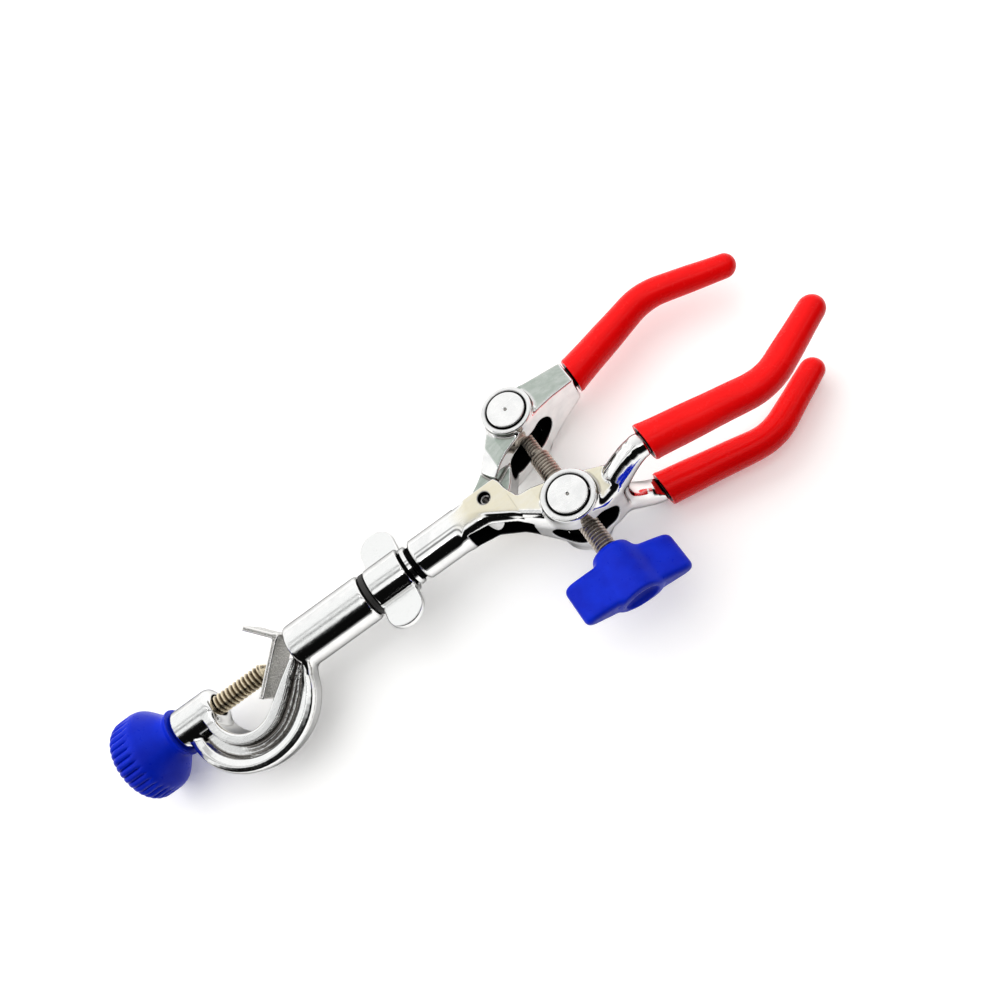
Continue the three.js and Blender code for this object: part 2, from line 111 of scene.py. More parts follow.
def soften(points, reach, closed=True):
    """The outline with each corner turned into a short curve that starts reach before it."""
    made, steps = [], 3
    n = len(points)
    for i, p in enumerate(points):
        if not closed and i in (0, n - 1):
            made.append(p)
            continue
        b = Vector(p)
        ends = []
        for q in (Vector(points[i - 1]), Vector(points[(i + 1) % n])):
            d = (q - b).length
            ends.append(b + (q - b) * (min(reach, d * 0.45) / d))
        for s in range(steps + 1):
            t = s / steps
            made.append(tuple(ends[0] * (1 - t) ** 2 + b * 2 * t * (1 - t) + ends[1] * t * t))
    return made


# ---- distance fields, in millimetres: below zero inside ----
def length(*parts):
    return np.sqrt(sum(p * p for p in parts))


def union(a, b, soft):
    h = np.clip(0.5 + 0.5 * (b - a) / soft, 0, 1)
    return b + (a - b) * h - soft * h * (1 - h)


def both(a, b, soft):
    """Where a and b overlap, with the edge between them rounded."""
    return -union(-a, -b, soft)


def cut(a, b, soft):
    return -union(-a, b, soft)


def between(v, low, high):
    return np.maximum(low - v, v - high)


def cylinder(radial, v, low, high, soft=0.5):
    return both(radial, between(v, low, high), soft)


def line_distance(points, u, v):
    """Distance to a chain of straight lines in a plane."""
    near = np.full(np.broadcast(u, v).shape, 1e9)
    for (ax, ay), (bx, by) in zip(points, points[1:]):
        ex, ey = bx - ax, by - ay
        t = np.clip(((u - ax) * ex + (v - ay) * ey) / (ex * ex + ey * ey), 0, 1)
        near = np.minimum(near, (u - ax - ex * t) ** 2 + (v - ay - ey * t) ** 2)
    return np.sqrt(near)


def outline(points, u, v):
    """Distance to a closed outline in a plane."""
    near = np.full(np.broadcast(u, v).shape, 1e9)
    inside = np.zeros(near.shape, bool)
    for (ax, ay), (bx, by) in zip(points, points[1:] + points[:1]):
        ex, ey = bx - ax, by - ay
        wu, wv = u - ax, v - ay
        t = np.clip((wu * ex + wv * ey) / max(ex * ex + ey * ey, 1e-12), 0, 1)
        near = np.minimum(near, (wu - ex * t) ** 2 + (wv - ey * t) ** 2)
        above, below = wv >= 0, v < by
        left = ex * wv > ey * wu
        inside ^= (above & below & left) | (~above & ~below & ~left)
    return np.where(inside, -1, 1) * np.sqrt(near)


def rod_between(x, y, z, a, b, ra, rb):
    """A straight bar from a to b with round ends, whose radius runs from ra to rb."""
    e = [q - p for p, q in zip(a, b)]
    w = (x - a[0], y - a[1], z - a[2])
    t = np.clip(sum(p * q for p, q in zip(w, e)) / sum(q * q for q in e), 0, 1)
    return length(*(p - q * t for p, q in zip(w, e))) - (ra + (rb - ra) * t)


# ---- meshes ----
def mesh_of(name, points, faces, crisp=None, **values):
    """A smooth-shaded mesh in metres, with float attributes at its vertices. Edges past the crisp angle
    show.

    The attribute "place" keeps where each vertex is in the piece's own frame, and "facing" is 1 where the
    surface looks along that frame's Z, either way."""
    mesh = bpy.data.meshes.new(name)
    mesh.from_pydata((np.asarray(points) * MM).tolist(), [], [list(f) for f in faces])
    mesh.shade_smooth()
    if crisp:
        mesh.set_sharp_from_angle(angle=math.radians(crisp))
    mesh.validate()
    normals = np.empty(len(mesh.vertices) * 3, np.float32)
    mesh.vertex_normals.foreach_get("vector", normals)
    values["facing"] = abs(normals[2::3])
    for key, each in values.items():
        mesh.attributes.new(key, "FLOAT", "POINT").data.foreach_set("value", each.astype(np.float32))
    places = np.empty(len(mesh.vertices) * 3, np.float32)
    mesh.vertices.foreach_get("co", places)
    mesh.attributes.new("place", "FLOAT_VECTOR", "POINT").data.foreach_set("vector", places)
    return mesh


def sculpt(name, shape, low, high, cell, holes=None):
    """The surface where the field shape(x, y, z) is zero: a vertex in each cell it crosses, moved onto it.
    The box from low to high has to hold the whole shape.

    The attribute "edge" is 1 on sharp outside edges, "crease" is 1 in tight inside corners and "hollow" is
    1 on the walls of the holes, which are a field as well."""
    axes = [np.arange(a, b + cell, cell) for a, b in zip(low, high)]
    x, y, z = axes[0][:, None, None], axes[1][None, :, None], axes[2][None, None, :]
    field = np.broadcast_to(shape(x, y, z), [len(a) for a in axes])
    inside = field < 0
    cells = [n - 1 for n in field.shape]

    def corner(grid, i, j, k):
        return grid[i:i + cells[0], j:j + cells[1], k:k + cells[2]]

    corners = [(i, j, k) for i in (0, 1) for j in (0, 1) for k in (0, 1)]
    count = sum(corner(inside, *c).astype(np.int8) for c in corners)
    active = np.argwhere((count > 0) & (count < 8))
    total, hits = np.zeros((len(active), 3)), np.zeros(len(active))
    for a in corners:
        for axis in range(3):
            if a[axis]:
                continue
            step = np.eye(3, dtype=int)[axis]
            fa = field[tuple((active + a).T)]
            fb = field[tuple((active + a + step).T)]
            crossed = (fa < 0) != (fb < 0)
            t = np.where(crossed, fa / np.where(crossed, fa - fb, 1), 0)
            total += np.where(crossed[:, None], active + a + t[:, None] * step, 0)
            hits += crossed
    points = np.array(low) + cell * total / hits[:, None]

    number = np.full(cells, -1)
    number[tuple(active.T)] = np.arange(len(active))
    faces = []
    for axis in range(3):
        e, f, g = (np.eye(3, dtype=int)[(axis + i) % 3] for i in range(3))
        start = inside[tuple(slice(0, n - d) for n, d in zip(inside.shape, e))]
        end = inside[tuple(slice(d, None) for d in e)]
        for at, order in ((start & ~end, 1), (~start & end, -1)):
            node = np.argwhere(at)
            ring = [node - f - g, node - g, node, node - f][::order]
            faces.append(np.stack([number[tuple(r.T)] for r in ring], axis=1))
    faces = np.concatenate(faces)

    def at(p):
        return shape(p[:, 0], p[:, 1], p[:, 2])

    def around(p, reach):
        return [[at(p + s * reach * np.eye(3)[i]) for s in (1, -1)] for i in range(3)]

    near, wide, settling = 0.02, 0.4, 3
    for _ in range(settling):
        value = at(points)
        slope = np.stack([(a - b) / (2 * near) for a, b in around(points, near)], axis=1)
        move = -value[:, None] * slope / np.maximum((slope**2).sum(1), 0.1)[:, None]
        points += np.clip(move, -cell / 2, cell / 2)
    bend = (sum(a + b for a, b in around(points, wide)) - 6 * at(points)) / wide**2
    values = {"edge": np.clip((bend - 0.5) / 1.5, 0, 1), "crease": np.clip(-bend / 1.2, 0, 1)}
    if holes:
        values["hollow"] = np.clip(1.3 - abs(holes(*points.T)) / 0.3, 0, 1)
    return mesh_of(name, points, faces, **values)


def skin(rings, looped=False):
    """Faces over rings with as many points each. A looped skin joins the last ring to the first, and any
    other has capped ends."""
    n, count = len(rings[0]), len(rings)
    faces = []
    for k in range(count if looped else count - 1):
        here, there = k * n, (k + 1) % count * n
        for i in range(n):
            j = (i + 1) % n
            faces.append((here + i, there + i, there + j, here + j))
    if not looped:
        last = (count - 1) * n
        faces.append(tuple(range(n)))
        faces.append(tuple(range(last + n - 1, last - 1, -1)))
    return np.concatenate(rings), faces


def turned(name, profile, sides, along="x", wave=None, crisp=35):
    """A piece turned about an axis, from (along, radius) pairs. wave(v, angle) adds to the radius.

    The attribute "hollow" is the pairs' third value, where they have one, and "groove" is how deep the wave
    cuts in, in millimetres."""
    a = np.linspace(0, 2 * np.pi, sides, endpoint=False)
    rings, grooves = [], []
    for v, r, *_ in profile:
        radius = np.full(sides, float(r))
        if wave:
            radius = np.maximum(radius + wave(v, a), 0.02)
        grooves.append(r - radius)
        c, s, at = radius * np.cos(a), radius * np.sin(a), np.full(sides, float(v))
        rings.append(np.stack({"x": (at, c, s), "y": (s, at, c), "z": (c, s, at)}[along], axis=1))
    hollow = np.repeat([float(row[2]) if len(row) > 2 else 0.0 for row in profile], sides)
    return mesh_of(name, *skin(rings), crisp, hollow=hollow, groove=np.concatenate(grooves))


def threaded(name, shape, threads, pitch, depth, along="x"):
    """A turned piece with a helical thread where v is in one of the stretches of threads."""
    low, high = shape[0][0], shape[-1][0]
    step = pitch / 9
    stations = np.concatenate([[low], np.arange(low, high, step), [high]])
    radii = np.interp(stations, [p[0] for p in shape], [p[1] for p in shape])

    def wave(v, a):
        fade = max(float(np.clip(min(v - s, e - v) / (pitch * 0.6), 0, 1)) for s, e in threads)
        turn = (v / pitch - a / (2 * np.pi)) % 1
        return -depth * fade * np.clip(1.35 * (1 - np.abs(2 * turn - 1)) - 0.18, 0, 1)

    ends = [(low, 0.02), *zip(stations, radii), (high, 0.02)]
    return turned(name, ends, 48, along, wave, crisp=None)


# ---- materials ----
class Paint:
    """A Principled material and short calls for the nodes that feed it."""

    def __init__(self, name, **constants):
        self.material = bpy.data.materials.new(name)
        self.material.use_nodes = True
        self.tree = self.material.node_tree
        self.shader = self.tree.nodes["Principled BSDF"]
        self.place = self.node("Attribute", attribute_name="place").outputs["Vector"]
        for socket, value in constants.items():
            self.shader.inputs[socket.replace("_", " ")].default_value = value

    def node(self, kind, **settings):
        made = self.tree.nodes.new("ShaderNode" + kind)
        for key, value in settings.items():
            setattr(made, key, value)
        return made

    def feed(self, socket, source):
        if isinstance(source, bpy.types.NodeSocket):
            self.tree.links.new(source, socket)
        else:
            socket.default_value = source

    def noise(self, scale, detail=4, stretch=(1, 1, 1)):
        place = self.node("Mapping")
        place.inputs["Scale"].default_value = stretch
        self.feed(place.inputs["Vector"], self.place)
        made = self.node("TexNoise")
        made.inputs["Scale"].default_value = scale
        made.inputs["Detail"].default_value = detail
        self.feed(made.inputs["Vector"], place.outputs["Vector"])
        return made.outputs["Fac"]

    def ramp(self, source, low, high, start=0.0, end=1.0):
        """source from low to high, read as start to end."""
        made = self.node("MapRange")
        for key, value in (("Value", source), ("From Min", low), ("From Max", high), ("To Min", start),
                           ("To Max", end)):
            self.feed(made.inputs[key], value)
        return made.outputs["Result"]

    def math(self, operation, a, b):
        made = self.node("Math", operation=operation)
        self.feed(made.inputs[0], a)
        self.feed(made.inputs[1], b)
        return made.outputs[0]

    def mix(self, share, a, b):
        made = self.node("Mix", data_type="RGBA")
        for socket, value in ((0, share), (6, a), (7, b)):
            self.feed(made.inputs[socket], value)
        return made.outputs[2]

    def attribute(self, name):
        return self.node("Attribute", attribute_name=name).outputs["Fac"]

    def colour(self, source):
        self.feed(self.shader.inputs["Base Color"], source)

    def roughness(self, source):
        self.feed(self.shader.inputs["Roughness"], source)

    def bump(self, *layers):
        """Each layer is a height from 0 to 1 and how deep that is, in millimetres."""
        under = None
        for height, depth in layers:
            made = self.node("Bump")
            made.inputs["Strength"].default_value = 1
            made.inputs["Distance"].default_value = depth * MM
            self.feed(made.inputs["Height"], height)
            if under:
                self.feed(made.inputs["Normal"], under)
            under = made.outputs["Normal"]
        self.feed(self.shader.inputs["Normal"], under)


def chrome(name, face_tint=(0.36, 0.42, 0.37, 1), face_satin=0.28, face_from=-200):
    """Bright plate over a die casting, with painted shade: near black where the mesh marks it as in shade, as on
    the walls of its holes, and darker in tight inside corners. The flat faces along Z are linished, so they are
    duller, apart from the ones that stand out highest and the ones whose X is below face_from, in millimetres."""
    p = Paint(name, Metallic=1.0, Specular_Tint=(0.25, 0.25, 0.25, 1))
    split = p.node("SeparateXYZ")
    p.feed(split.inputs[0], p.place)
    after = p.ramp(split.outputs["X"], (face_from - 3) * MM, (face_from + 3) * MM)
    face = p.math("MULTIPLY", p.ramp(p.attribute("facing"), 0.88, 0.955), after)
    cloud = p.noise(260, 3)
    bright = p.mix(p.ramp(cloud, 0.35, 0.7), (0.92, 0.92, 0.91, 1), (0.82, 0.825, 0.82, 1))
    paler = tuple(0.75 * v + 0.22 for v in face_tint[:3])
    lined = p.mix(p.ramp(p.noise(900, 3, (0.25, 1, 1)), 0.38, 0.75), face_tint, (*paler, 1))
    proud = p.ramp(p.math("ABSOLUTE", split.outputs["Z"], 0), 10.4 * MM, 10.8 * MM)
    plain = p.mix(face, bright, p.mix(proud, lined, bright))
    # Painted shade: tight inside corners are darkened towards a dark brown-grey.
    crease_shaded = p.mix(p.ramp(p.attribute("crease"), 0.35, 1.0, 0, 0.75), plain, (0.16, 0.14, 0.12, 1))
    # Painted shade: near black where the mesh marks it, as on the walls of holes.
    hollow = p.attribute("hollow")
    p.colour(p.mix(hollow, crease_shaded, (0.006, 0.006, 0.006, 1)))
    polish = p.ramp(cloud, 0.3, 0.75, 0.05, 0.12)
    satin = p.ramp(p.noise(2600, 2, (0.3, 1, 1)), 0.3, 0.7, face_satin - 0.06, face_satin + 0.08)
    shine = p.math("ADD", polish, p.math("MULTIPLY", face, satin))
    p.roughness(p.math("ADD", shine, p.math("MULTIPLY", hollow, 0.5)))
    p.bump((p.noise(150, 2), 0.035), (p.noise(1100, 2), 0.0018))
    return p.material


def steel_sheet(name):
    """Rough grey sheet, speckled, paler and smoother on its sharp outside edges."""
    p = Paint(name, Metallic=1.0)
    speck = p.ramp(p.noise(2600, 5), 0.42, 0.62)
    grey = p.mix(speck, (0.26, 0.255, 0.24, 1), (0.68, 0.67, 0.64, 1))
    # Paler and smoother on sharp outside edges.
    paler = p.ramp(p.attribute("edge"), 0.1, 0.7)
    p.colour(p.mix(paler, grey, (0.86, 0.85, 0.83, 1)))
    p.roughness(p.ramp(paler, 0, 1, p.ramp(speck, 0, 1, 0.42, 0.28), 0.2))
    p.bump((p.noise(1500, 4), 0.03), (p.noise(420, 2), 0.04))
    return p.material


def thread_steel(name, crest, root):
    """Rolled thread, with painted shade that darkens it towards the root."""
    p = Paint(name, Metallic=1.0)
    # Painted shade: darker towards the root of the thread.
    depth = p.ramp(p.attribute("groove"), 0.05, 0.5, 1, 0)
    stain = p.ramp(p.noise(500, 4), 0.35, 0.7, 0, 0.35)
    p.colour(p.mix(stain, p.mix(depth, root, crest), root))
    p.roughness(p.ramp(p.noise(1800, 3), 0.3, 0.7, 0.22, 0.4))
    p.bump((p.noise(2500, 2), 0.004))
    return p.material


def plain_steel(name):
    """Turned steel with fine marks round the axis."""
    p = Paint(name, Metallic=1.0)
    marks = p.noise(3000, 3, (1, 0.1, 0.1))
    p.colour(p.mix(p.ramp(marks, 0.3, 0.7), (0.42, 0.41, 0.4, 1), (0.66, 0.65, 0.63, 1)))
    p.roughness(p.ramp(marks, 0.3, 0.7, 0.22, 0.42))
    p.bump((marks, 0.003))
    return p.material


def moulded_blue(name):
    """Blue moulded plastic: faint flow marks and a fine matt grain."""
    p = Paint(name, IOR=1.49, Specular_IOR_Level=0.1)
    flow = p.noise(130, 3, (1, 1, 0.4))
    body = p.mix(p.ramp(flow, 0.35, 0.68), (0.002, 0.014, 0.42, 1), (0.003, 0.024, 0.56, 1))
    p.colour(p.mix(p.ramp(p.noise(2200, 3), 0.6, 0.8, 0, 0.2), body, (0.012, 0.06, 0.64, 1)))
    p.roughness(p.ramp(p.noise(900, 4), 0.3, 0.7, 0.26, 0.42))
    p.bump((p.noise(2600, 3), 0.006), (p.noise(260, 2), 0.03))
    return p.material


def dipped_red(name):
    """Red vinyl dip: glossy, with slow ripples where it ran and a few specks, and painted shade, near black,
    inside its mouth.
    """
    p = Paint(name, IOR=1.5, Specular_IOR_Level=0.12)
    run = p.noise(120, 3, (0.35, 1, 1))
    body = p.mix(p.ramp(run, 0.3, 0.7), (0.74, 0.002, 0.003, 1), (0.86, 0.005, 0.005, 1))
    specks = p.mix(p.ramp(p.noise(1800, 4), 0.66, 0.8, 0, 0.3), body, (0.45, 0.0, 0.0, 1))
    # Painted shade: near black inside the mouth.
    p.colour(p.mix(p.attribute("hollow"), specks, (0.004, 0.0, 0.0, 1)))
    p.roughness(p.ramp(p.noise(600, 4), 0.3, 0.7, 0.16, 0.3))
    p.bump((run, 0.08), (p.noise(1300, 2), 0.006))
    return p.material


# Black with a fine grain. On the swivel washer this black fills the dark gap between the sleeve and the lock ring.
def black_grained(name):
    p = Paint(name)
    grain = p.noise(2500, 4)
    p.colour(p.mix(grain, (0.006, 0.006, 0.006, 1), (0.03, 0.028, 0.026, 1)))
    p.roughness(p.ramp(grain, 0.3, 0.7, 0.5, 0.8))
    p.bump((grain, 0.02))
    return p.material


CHROME = chrome("chrome", (0.86, 0.87, 0.86, 1), 0.12)
CHROME_GREY = chrome("chrome_grey")
CHROME_WARM = chrome("chrome_warm", (0.84, 0.79, 0.62, 1), 0.34, -9)
DISC = chrome("disc_chrome", (0.9, 0.9, 0.89, 1), 0.2)
VEE_STEEL = steel_sheet("vee_sheet")
BRASSY = thread_steel("thread_brassy", (0.95, 0.83, 0.6, 1), (0.1, 0.07, 0.04, 1))
NICKEL = thread_steel("thread_nickel", (0.62, 0.55, 0.47, 1), (0.09, 0.07, 0.055, 1))
STEEL = plain_steel("turned_steel")
BLUE = moulded_blue("blue_plastic")
RED = dipped_red("red_vinyl")
BLACK = black_grained("black_grained")


def add(mesh, material, where, body, node):
    """Puts a mesh in the scene for a CAD node: it rides on the node's body and takes the node's place.

    The mesh is moved out of its frame, so that its object sits at the origin as the CAD nodes do."""
    piece = bpy.data.objects.new(mesh.name, mesh)
    bpy.context.scene.collection.objects.link(piece)
    mesh.transform(where)
    mesh.materials.append(material)
    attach(piece, body)
    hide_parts(node)
    return piece


# ---- boss head ----
def boss_casting():
    """The hook is a strip between two curves: a flat flange inside, ribs that fan out, and a round rim."""
    steps = 26
    inner = [(LUG["right"] - 1.6, 2.6), *arc(HOOK_INNER["at"], HOOK_INNER["r"], 180, 302, steps - 1),
             (-75.9, -5.9), (-70.4, -2.2)]
    outer = [(-107.8, -0.5), *arc(HOOK_OUTER["at"], HOOK_OUTER["r"], 182, 350, steps), (-66.2, -5.5)]
    share = [0, 0.25, 0.32, 0.55, 0.64, 0.8, 0.94, 1]
    thick = [5.5, 5.5, 1.9, 1.9, 3.5, HOOK_HALF, 3.6, 2.6]

    def shape(x, y, z):
        out = length(y, z)
        near, far = line_distance(inner, x, y), line_distance(outer, x, y)
        across = near / (near + far)
        rib = np.clip(1 - abs((across - 0.35) % 0.1 - 0.05) / 0.035, 0, 1) * (abs(across - 0.45) < 0.1)
        half = np.interp(across, share, thick) + 1.6 * rib * np.clip((x + 96) / 10, 0, 1)
        hook = both(outline(inner + outer[::-1], x, y), abs(z) - half, 1.0)
        lug = both(both(out - LUG["r"], LUG["left"] - x, 0.7), x - LUG["right"], LUG["nose"])
        sleeve = cylinder(out - SLEEVE["r"], x, SLEEVE["left"], SLEEVE["right"], 1.6)
        body = union(union(hook, lug, 1.0), sleeve, 1.2)
        return cut(body, holes(x, y, z), 0.4)

    def holes(x, y, z):
        out = length(y, z)
        screw_hole = cylinder(out - SCREW["r"] - GAP, x, LUG["left"] - 2, LUG["right"] + 1)
        bore = cylinder(out - SLEEVE["bore"], x, SLEEVE["bore_end"], SLEEVE["right"] + 2)
        return np.minimum(screw_hole, bore)

    # The walls of the holes are painted near black, as painted shade.
    return sculpt("boss_head_casting", shape, (-110.5, -25, -8.2), (-41.5, 8.2, 8.2), 0.32, holes)


def vee_plate():
    corner = Vector(VEE["apex"])
    ends = [Vector(VEE[k]) for k in ("short", "long")]
    half = VEE["thick"] / 2

    def shape(x, y, z):
        wings = [rod_between(x, y, 0 * z, (*corner, 0), (*e, 0), half, half) for e in ends]
        caps = []
        for wing, e in zip(wings, ends):
            d = (e - corner).normalized()
            caps.append(both(wing, (x - e.x) * d.x + (y - e.y) * d.y, 0.3))
        return both(union(caps[0], caps[1], 0.9), abs(z) - VEE["half"], 0.45)

    return sculpt("vee_plate_sheet", shape, (-84.5, -9, -6.3), (-69, 14.5, 6.3), 0.22)


def boss_screw():
    r = SCREW["r"]
    shape = [(SCREW["left"], r), (SCREW["shoulder"], r), (SCREW["tip"], SCREW["tip_r"])]
    return threaded("boss_screw_thread", shape, [(-109, SCREW["shoulder"] + 0.6)], SCREW["pitch"], 0.62)


def boss_knob():
    left, rim_end, right, r = KNOB["left"], KNOB["rim_end"], KNOB["right"], KNOB["r"] - SKIN
    bore, face = SCREW["r"] + GAP, 9.4
    rows = [(left + 1.4, bore), (left + 1.4, 4.6), (left + 0.9, 5.0), (left + 0.7, 8.4), (left, face)]
    rows += [(left + 3.2 * (1 - math.cos(a)), face + (r - face) * math.sin(a))
             for a in np.linspace(0.12, math.pi / 2, 10)]
    rows += [(v, r) for v in np.linspace(left + 3.6, rim_end - 0.4, 8)]
    # A domed shoulder falls to the waist, and the foot flares to a lip.
    fall = [(rim_end - 0.2, r), (rim_end + 1.5, 12.35), (rim_end + 3, 11), (rim_end + 5, 8.9),
            (rim_end + 6.7, 7.3), (right - 1.5, 6.75), (right - 0.35, 7.45), (right - 0.05, 7.3)]
    rows += soften(fall, 1.2, closed=False)
    rows += [(right, 6.9), (right, bore)]

    def wave(v, a):
        ends = float(np.clip((v - left + 0.3) / 0.8, 0, 1) * np.clip((rim_end + 0.5 - v) / 1.4, 0, 1))
        return -0.8 * ends * (1 - np.abs(np.sin(KNOB["ridges"] * a / 2)) ** 0.55)

    a = np.linspace(0, 2 * np.pi, KNOB["ridges"] * 12, endpoint=False)
    rings = []
    for v, radius in rows:
        edge = radius + (wave(v, a) if radius > face - 0.1 else 0 * a)
        rings.append(np.stack((np.full(len(a), v), edge * np.cos(a), edge * np.sin(a)), axis=1))
    return mesh_of("boss_knob_knurled", *skin(rings, looped=True), 40)


# ---- swivel ----
def arm_shaft():
    """The shaft, with a bright collar in the gap between the lock ring and the barrel. Round the collar the
    shaft is painted near black, as painted shade in that gap and where the washer, lock ring and barrel close
    round it.
    """
    c, h = SHAFT["clip_at"], SHAFT["clip_half"]
    r, thread = SHAFT["r"], SHAFT["thread"]
    mid = (LOCK["right"] + BARREL["left"]) / 2
    # Rows with a third value of 1 are painted near black, as painted shade.
    profile = [(SHAFT["left"], 0.02), (SHAFT["left"], r - 0.5), (SHAFT["left"] + 0.5, r), (c - h, r),
               (c - h, r - 1), (c + h, r - 1), (c + h, r), (SLEEVE["right"] + 0.3, r),
               (SLEEVE["right"] + 0.7, thread, 1), (mid - 0.85, thread, 1), (mid - 0.8, 5.5),
               (mid - 0.55, 5.95), (mid + 0.55, 5.95), (mid + 0.8, 5.5), (mid + 0.85, thread, 1),
               (SHAFT["right"], thread, 1), (SHAFT["right"], 0.02, 1)]
    return turned("arm_shaft_turned", profile, 72)


def swivel_washer():
    low, high, r = SLEEVE["right"] + GAP, LOCK["left"] - GAP, 6.6
    rows = [(low, 5.3), (low, r - 0.25), (low + 0.2, r), (high - 0.2, r), (high, r - 0.25), (high, 5.3)]
    a = np.linspace(0, 2 * np.pi, 72, endpoint=False)
    rings = [np.stack((np.full(len(a), v), r * np.cos(a), r * np.sin(a)), axis=1) for v, r in rows]
    return mesh_of("swivel_washer_black", *skin(rings, looped=True), 35)


def lock_ring():
    mid = (LOCK["left"] + LOCK["right"]) / 2
    e = LOCK["ear"]
    ears = [*arc((mid, LOCK["up"] - e), e, 0, 180, 20), *arc((mid, e - LOCK["down"]), e, 180, 360, 20)]
    turn = math.radians(LOCK["turn"])

    def shape(x, y, z):
        u, w = y * math.cos(turn) + z * math.sin(turn), z * math.cos(turn) - y * math.sin(turn)
        out = length(y, z)
        ring = cylinder(out - LOCK["r"], x, LOCK["left"], LOCK["right"], 0.6)
        tab = both(outline(ears, x, u), abs(w) - 1.1, 0.7)
        return cut(union(ring, tab, 1.0), out - SHAFT["thread"] - GAP, 0.5)

    return sculpt("lock_ring_casting", shape, (-41.6, -19.5, -8.2), (-28.6, 20, 8.2), 0.28)


# ---- jaws ----
def trunnion_bore(x, y, z, side):
    flare = 0.06 * np.clip((abs(z) - BOSS_HALF + 1.2) / 0.8, 0, 1)
    return length(x - TRUNNION_AT[0], y - side * TRUNNION_AT[1]) - TRUNNION["r"] - GAP - flare


def rod_slot(x, y, z, side):
    half = SLOT["height"] / 2
    flat = SLOT["length"] / 2 - half
    u = np.clip(x - TRUNNION_AT[0], -flat, flat)
    near = length(x - TRUNNION_AT[0] - u, z) - half
    return both(near, abs(y - side * TRUNNION_AT[1]) - 16, 0.5)


def finger_stub(x, y, z, line, reach):
    """The bare end of a finger's core, inside its sleeve."""
    (ax, ay), (bx, by) = line[:2]
    run = math.hypot(bx - ax, by - ay)
    end = (ax + (bx - ax) * reach / run, ay + (by - ay) * reach / run, 0)
    start = (ax - (bx - ax) * 2 / run, ay - (by - ay) * 2 / run, 0)
    return rod_between(x, y, z, start, end, CORE_R[0], CORE_R[0] - 0.15)


def single_jaw():
    bx, by = TRUNNION_AT
    plan = soften([(5.5, 3), (9.7, 5.3), (20.5, 9.4), (31.6, 13.4), (43, 16.3), (43, 23.8), (40, 23.2),
                   (27, 21.8), (16, 22), (12, 17), (6.3, 11.2), (3, 8.6)], 1.0)
    side_x, side_h = [3, 8, 12, 26, 33, 39.2, 41.5], [5.2, 8.2, 9.6, 9.6, 7.2, 5.1, 4.6]
    tongue = soften([(-2, 5.5), (3, -4.6), (8, 0.5), (12, 6.5), (8, 13)], 1)

    def shape(x, y, z):
        height = np.interp(x, side_x, side_h)
        arm = both(outline(plan, x, y), abs(z) - height, 0.7)
        arm = both(arm, x - FINGER_A[0][0] + 0.8, 0.7)
        boss = cylinder(length(x - bx, y - by) - RING_A, z, -BOSS_HALF, BOSS_HALF, 0.7)
        body = cut(union(arm, boss, 1.0), length(x, y) - CHEEK["nose"] - GAP, 0.5)
        nose = union(length(x, y) - TONGUE["r"], outline(tongue, x, y), 1)
        nose = both(nose, abs(z) - TONGUE["half"], 0.7)
        body = union(union(body, nose, 0.8), finger_stub(x, y, z, FINGER_A, 4), 0.2)
        return cut(body, holes(x, y, z), 0.6)

    def holes(x, y, z):
        pin = length(x, y) - PIN_R - GAP / 2
        return np.minimum(np.minimum(rod_slot(x, y, z, 1), pin), trunnion_bore(x, y, z, 1))

    # Painted shade: near black on the walls of the holes and on the finger's core inside its sleeve.
    def dark(x, y, z):
        stub = np.where(x > FINGER_A[0][0] - 0.6, 0, 9)
        return np.minimum(abs(holes(x, y, z)), stub)

    return sculpt("single_jaw_casting", shape, (-7, -7, -12.4), (48, 25.5, 12.4), 0.3, dark)


def prong(x, y, z):
    """A bar that leaves the fixed jaw's plate, rises along a bend and runs into its finger's sleeve."""
    start, high = np.array((28.0, -18.0, 4.6)), np.array((37.2, -18.2, FINGER_W - 0.2))
    end = np.array((*FINGER_B[0], FINGER_W))
    middle = np.array((33.0, -18.0, 6.4))
    t = np.linspace(0, 1, 9)[:, None]
    bend = start * (1 - t) ** 3 + middle * 3 * t * (1 - t) ** 2 + high * 3 * t * t * (1 - t) + end * t**3
    thick = np.linspace(4.0, 3.3, 9)
    bar = np.full(np.broadcast(x, y, z).shape, 1e9)
    for a, b, ra, rb in zip(bend, bend[1:], thick, thick[1:]):
        bar = np.minimum(bar, rod_between(x, y, abs(z), a, b, ra, rb))
    return both(bar, x - FINGER_B[0][0] + 0.5, 0.5)


